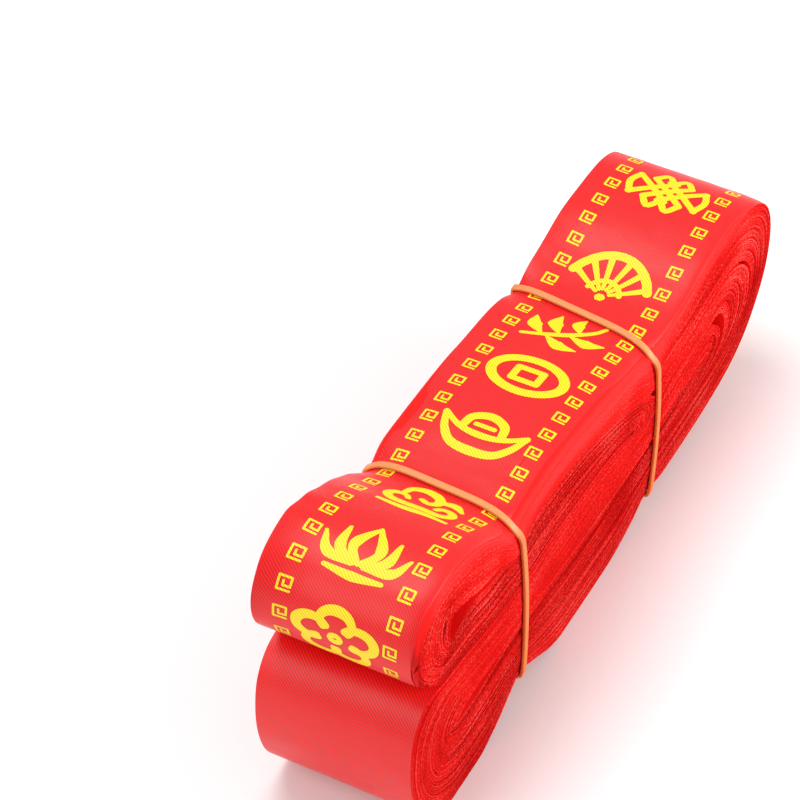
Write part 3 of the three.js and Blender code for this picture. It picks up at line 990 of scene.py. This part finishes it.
def lotus(draw):
    petals = (
        (1.0, ((0, -5.0), (3.4, 0.0), (0, 7.8))),
        (1.0, ((1.0, -5.0), (6.0, -2.0), (6.6, 4.8))),
        (0.9, ((1.6, -5.4), (8.4, -4.2), (11.0, 1.0))),
    )
    for tip, points in petals:
        for side in (-1, 1):
            draw(curve(*((side * x, y) for x, y in points)), (1.2, 3.0, tip))
    draw(curve((-7.4, -7.8), (0, -8.4), (7.4, -7.8)), (1.2, 2.6, 1.2))


def fan(draw):
    draw(arc(0, -7.6, 11.4, 15.2, 24, 156), (2.6, 2.6))
    draw(arc(0, -7.6, 4.6, 6.0, 20, 160), (1.6, 1.6))
    for turn in (28, 52, 76, 104, 128, 152):
        x = math.cos(math.radians(turn))
        y = math.sin(math.radians(turn))
        draw(even(((2.2 * x, 2.9 * y - 7.6), (10.8 * x, 14.4 * y - 7.6))), (1.1, 1.9))
    draw(arc(0, -8.0, 0.7, 0.7, 0, 360), (1.6, 1.6))


def ingot(draw):
    hull_line = (-11.0, 3.4), (-8.6, -2.6), (-4.4, -6.4), (4.4, -6.4), (8.6, -2.6), (11.0, 3.4)
    rim = (-11.0, 3.6), (-7.4, 0.8), (-3.8, -0.6), (0, -1.0), (3.8, -0.6), (7.4, 0.8), (11.0, 3.6)
    dome = (-5.2, 0.6), (-4.2, 4.6), (0, 6.6), (4.2, 4.6), (5.2, 0.6)
    draw(curve(*hull_line), (1.6, 3.0, 1.6))
    draw(curve(*rim), (1.4, 2.2, 1.4))
    draw(curve(*dome), (2.2, 2.8, 2.2))
    draw(even(((-2.4, 2.4), (2.4, 2.4))), (1.5, 1.5))


# A square spiral, from its outer end to its middle
FRET = (
    (1.8, -1.85),
    (-1.8, -1.85),
    (-1.8, 1.85),
    (1.8, 1.85),
    (1.8, -0.65),
    (-0.35, -0.65),
    (-0.35, 0.65),
)

# Columns: the row of marks at the ornament's middle; the ornament
ORNAMENTS = (
    (-0.3, blossom),
    (3.0, lotus),
    (6.7, cloud),
    (11.0, ingot),
    (14.4, coin),
    (17.4, sprig),
    (21.0, fan),
    (25.5, knot),
    (29.0, blossom),
    (32.4, lotus),
    (36.0, cloud),
    (40.2, ingot),
    (43.6, coin),
    (46.6, sprig),
    (50.2, fan),
)


def printed():
    """The print: ornaments along the middle, and a row of frets along each edge"""
    start = length_at(*ROW_ZERO)
    ink = Print()
    for row, ornament in ORNAMENTS:
        centre = (0.0, start + row * MARK_PITCH)

        def draw(path, widths):
            ink.stroke(centre, path * ORNAMENT_SCALE, np.array(widths) * ORNAMENT_WIDTH_SCALE)

        ornament(draw)
    for row in MARK_ROWS:
        for x in (-MARK_X, MARK_X):
            for a, b in zip(FRET, FRET[1:]):
                ink.stroke((x, start + row * MARK_PITCH), even((a, b)), MARK_WIDTHS)
    points = np.vstack(ink.points)
    quads = np.vstack(ink.quads)
    kinds = np.zeros(len(quads))
    obj = make_mesh("ribbon_print", points, quads, np.vstack(ink.uv), kinds, (PRINT,))
    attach(obj, "root")


def hull(points):
    """The convex loop round flat points, anticlockwise"""
    ordered = sorted(map(tuple, points))

    def half(chain_of):
        chain = []
        for p in chain_of:
            while len(chain) > 1:
                (ox, oy), (ax, ay) = chain[-2], chain[-1]
                if (ax - ox) * (p[1] - oy) - (ay - oy) * (p[0] - ox) > 0:
                    break
                chain.pop()
            chain.append(p)
        return chain[:-1]

    return np.array(half(ordered) + half(ordered[::-1]))


def band_loop(band):
    """The taut loop of a band, at the middle of its thickness"""
    found = []
    for share in np.linspace(-1, 1, BAND_SAMPLES):
        for aside in (-BAND_WIDTH / 2, 0, BAND_WIDTH / 2):
            for down, level in ((0, TOP_Z), (1, BOTTOM_Z)):
                y = band_place(band, share, down) + aside
                z = np.interp(y, READ_Y, level)
                for depth in SIDE_DEPTHS if abs(share) == 1 else (0,):
                    inwards = depth if down else -depth
                    place = settle(np.array([share]), np.array([y]), np.array([z + inwards]))[0]
                    stand = stand_back(y, z, share) * math.exp(-depth / SHINGLED_DEPTH)
                    found.append((place[0] - drawn_in(share, stand + BAND_EDGE_INSET), place[2]))
    stand_off = BAND_CLEARANCE + BAND_THICKNESS / 2
    angles = np.arange(0, 2 * math.pi, BAND_TURN_STEP)
    ring = np.stack([np.cos(angles), np.sin(angles)], 1) * stand_off
    ring = hull((hull(found)[:, None] + ring[None]).reshape(-1, 2))
    lengths = arc_length(ring)
    ring = np.vstack([ring, ring[:1]])
    at = np.linspace(0, lengths[-1], int(lengths[-1] / BAND_STEP) + 1)[:-1]
    x = np.interp(at, lengths, ring[:, 0])
    z = np.interp(at, lengths, ring[:, 1])
    share = np.clip(x / HALF_WIDTH, -1, 1)
    down = (z.max() - z) / (z.max() - z.min())
    bow = band["bow"] * np.sin(math.pi * down) * smoothstep(np.abs(share), SIDE_SHARE, 1)
    return np.stack([x, band_place(band, share, down) + bow, z], 1)


def band_section():
    """The flat section with rounded corners: steps out of the roll and along it"""
    out = BAND_THICKNESS / 2 - BAND_EASE
    along = BAND_WIDTH / 2 - BAND_EASE
    places = []
    for so, sa, start in ((1, 1, 0), (-1, 1, 90), (-1, -1, 180), (1, -1, 270)):
        for turn in np.radians(np.linspace(start, start + 90, BAND_EASE_POINTS)):
            step_out = so * out + BAND_EASE * math.cos(turn)
            places.append((step_out, sa * along + BAND_EASE * math.sin(turn)))
    return np.array(places)


def rubber_band(band):
    """The closed ring of a band, its section swept along the taut loop"""
    loop = band_loop(band)
    along = np.roll(loop, -1, 0) - np.roll(loop, 1, 0)
    along /= np.linalg.norm(along, axis=1)[:, None]
    sideways = np.array((0, 1, 0)) - along * along[:, 1:2]
    sideways /= np.linalg.norm(sideways, axis=1)[:, None]
    outwards = np.cross(along, sideways)
    if np.sum(outwards * (loop - loop.mean(0))) < 0:
        outwards = -outwards
    profile = band_section()
    rows = loop[:, None] + outwards[:, None] * profile[None, :, :1]
    rows = rows + sideways[:, None] * profile[None, :, 1:]
    index = np.arange(rows.shape[0] * rows.shape[1]).reshape(rows.shape[:2])
    down = np.roll(index, -1, 0)
    quads = np.stack([index, np.roll(index, -1, 1), np.roll(down, -1, 1), down], -1).reshape(-1, 4)
    uv = np.zeros((len(quads), 4, 2))
    name = band["name"] + "_rubber"
    obj = make_mesh(name, rows.reshape(-1, 3), quads, uv, np.zeros(len(quads)), (RUBBER,))
    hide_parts(band["name"])
    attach(obj, "root")


# How far edges stand back inside the upper lobe's front and along the bottom
LOBE_RECESS = 1.2
BOTTOM_RECESS = 0.2
INNER_RECESS = 0.1
SLIT_RECESS = 0.6

# Columns: y, z along the floor of the core slit
SLIT_FLOOR = np.array(
    (
        (-77, 30.0),
        (-60, 30.6),
        (-44, 30.0),
        (-26.5, 28.6),
        (-12, 27.4),
        (4.5, 27.6),
        (23, 27.9),
        (42.5, 28.9),
        (61, 30.6),
    )
)


def outer_recess(y, z):
    """How far edges of the outer bundle stand back, in mm"""
    lobe = np.exp(-(((y + 98) / 9) ** 2) - ((z - 74) / 13) ** 2)
    lobe = lobe * (1 - smoothstep(y, -99, -84)) * smoothstep(z, 57, 62)
    bottom = (1 - smoothstep(z, 11, 17)) * smoothstep(y, -100, -80) * (1 - smoothstep(y, 70, 95))
    return LOBE_RECESS * lobe + BOTTOM_RECESS * bottom


def middle_recess(y, z):
    """Edges of the middle bundle all stand back alike, in mm"""
    return INNER_RECESS


def core_recess(y, z):
    """A few strands under the core slit stand back, in mm"""
    under = np.interp(y, SLIT_FLOOR[:, 0], SLIT_FLOOR[:, 1]) - z
    recess = SLIT_RECESS * between(under, (-0.4, 0.3), (1.4, 2.4))
    return INNER_RECESS + recess * smoothstep(y, -85, -60) * (1 - smoothstep(y, 50, 72))


bundle("ribbon_outer_turns", outer_rungs(), 46, 3, 0.3, outer_recess, outermost_apart=True)
bundle("ribbon_middle_turns", MIDDLE, 34, 1, 0.2, middle_recess)
bundle("ribbon_core_turns", CORE, 14, 1, 0.2, core_recess)
outermost()
printed()
for each in BANDS:
    rubber_band(each)

# Stage, light and camera, in metres
FLOOR_HALF = 12.0
FLOOR_Z = -0.0002
FLOOR_GREY = (0.92, 0.92, 0.92, 1)
WORLD_WHITE = (1, 1, 1, 1)
WORLD_STRENGTH = 0.5
LIT_POINT = (0, 0, 0.05)
# Columns: name; place; size; power
LIGHTS = (
    ("key", (-0.3, 0.12, 1.05), 0.7, 6.0),
    ("fill", (-0.5, -0.8, 0.7), 0.9, 5.0),
    ("side", (0.87, 0.42, 0.34), 0.6, 9.2),
)
CAMERA_PLACE = (0.30724, -0.63442, 0.75480)
CAMERA_RIGHT = (0.88104491, 0.4728901, -0.01161123)
CAMERA_UP = (-0.3239697, 0.62111247, 0.71362661)
CAMERA_BACK = (0.34467884, -0.6249754, 0.70043004)
CAMERA_LENS = 154.44
CAMERA_SENSOR = 36
CAMERA_CLIP = (0.05, 20)


def placing(right, up, back, place):
    """The matrix of an object with these axes, which looks away from back"""
    rows = [[right[i], up[i], back[i], place[i]] for i in range(3)]
    return Matrix(rows + [[0, 0, 0, 1]])


def area_light(name, place, size, power):
    """A round light that faces LIT_POINT"""
    light = bpy.data.lights.new(name, "AREA")
    light.shape = "DISK"
    light.size = size
    light.energy = power
    obj = bpy.data.objects.new(name, light)
    bpy.context.scene.collection.objects.link(obj)
    back = np.array(place) - np.array(LIT_POINT)
    back /= np.linalg.norm(back)
    right = np.cross((0, 0, 1), back)
    right /= np.linalg.norm(right)
    obj.matrix_world = placing(right, np.cross(back, right), back, place)


def set_stage():
    """A pale floor, the lights and an even white surround"""
    mesh = bpy.data.meshes.new("floor")
    corners = [(x * FLOOR_HALF, y * FLOOR_HALF, 0) for x, y in ((-1, -1), (1, -1), (1, 1), (-1, 1))]
    mesh.from_pydata(corners, [], [(0, 1, 2, 3)])
    floor = bpy.data.objects.new("floor", mesh)
    floor.location.z = FLOOR_Z
    bpy.context.scene.collection.objects.link(floor)
    paper, *_ = principled("pale_floor", FLOOR_GREY, 0.9, Specular_IOR_Level=0.1)
    mesh.materials.append(paper)
    for name, place, size, power in LIGHTS:
        area_light(name, place, size, power)
    world = bpy.data.worlds.new("soft")
    bpy.context.scene.world = world
    world.use_nodes = True
    background = world.node_tree.nodes["Background"]
    background.inputs["Color"].default_value = WORLD_WHITE
    background.inputs["Strength"].default_value = WORLD_STRENGTH
    bpy.context.scene.view_settings.view_transform = "Standard"


def set_camera():
    """The view of the roll from the front right, above"""
    lens = bpy.data.cameras.new("photo_angle")
    lens.lens = CAMERA_LENS
    lens.sensor_width = CAMERA_SENSOR
    lens.clip_start, lens.clip_end = CAMERA_CLIP
    camera = bpy.data.objects.new("photo_angle", lens)
    camera.matrix_world = placing(CAMERA_RIGHT, CAMERA_UP, CAMERA_BACK, CAMERA_PLACE)
    bpy.context.scene.collection.objects.link(camera)
    bpy.context.scene.camera = camera


set_stage()
set_camera()
